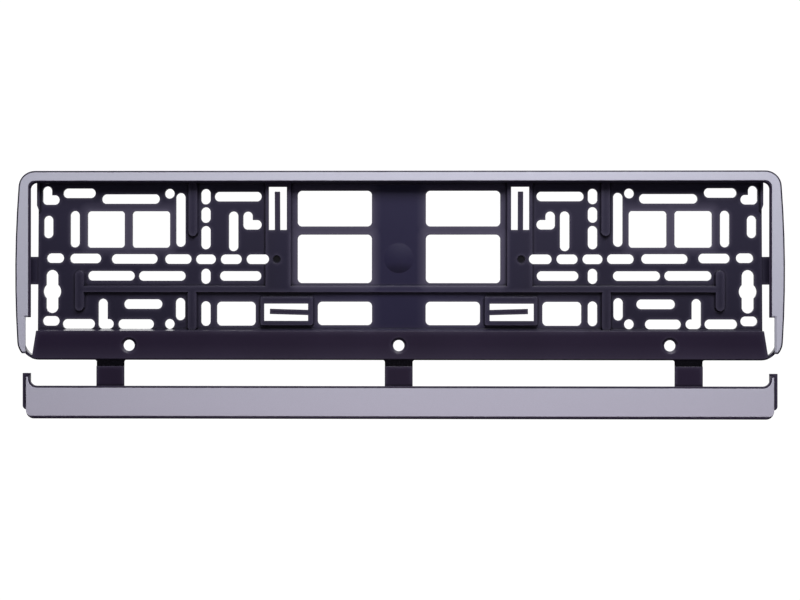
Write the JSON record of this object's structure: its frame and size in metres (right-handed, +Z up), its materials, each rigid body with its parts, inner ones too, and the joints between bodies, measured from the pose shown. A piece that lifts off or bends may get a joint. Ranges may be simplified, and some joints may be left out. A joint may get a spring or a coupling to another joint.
{
  "type": "number plate holder",
  "caption": "Black plastic holder for a long vehicle number plate, with a pierced back panel, silver front bands and a fold-up closing strip on film-hinge straps.",
  "frame": {"origin": "centre of the back face, halfway up the frame and on its middle line", "axes": "+X along the plate to the right as seen from the front, +Y out of the back face towards the car, +Z up"},
  "size_m": [0.5346, 0.012, 0.1728],
  "materials": {
    "black_plastic": "fine satin moulded polypropylene",
    "silver_foil": "satin silver hot-stamped foil"
  },
  "bodies": {
    "holder": {"holder_frame": "black_plastic", "frame_foil": "silver_foil"},
    "straps": {"strap_left": "black_plastic", "strap_centre": "black_plastic", "strap_right": "black_plastic"},
    "strip": {"closing_strip": "black_plastic", "strip_foil": "silver_foil"}
  },
  "joints": [
    {"name": "strap_fold", "type": "hinge", "parent": "holder", "child": "straps", "pos_m": [0, -0.0067, -0.06595], "axis": [-1, 0, 0], "range_deg": [0, 168]},
    {"name": "strip_fold", "type": "hinge", "parent": "straps", "child": "strip", "pos_m": [0, -0.0051, -0.08615], "axis": [-1, 0, 0], "range_deg": [-168, 0]}
  ],
  "couplings": [
    {"joint": "strip_fold", "follows": "strap_fold", "ratio": -1}
  ]
}
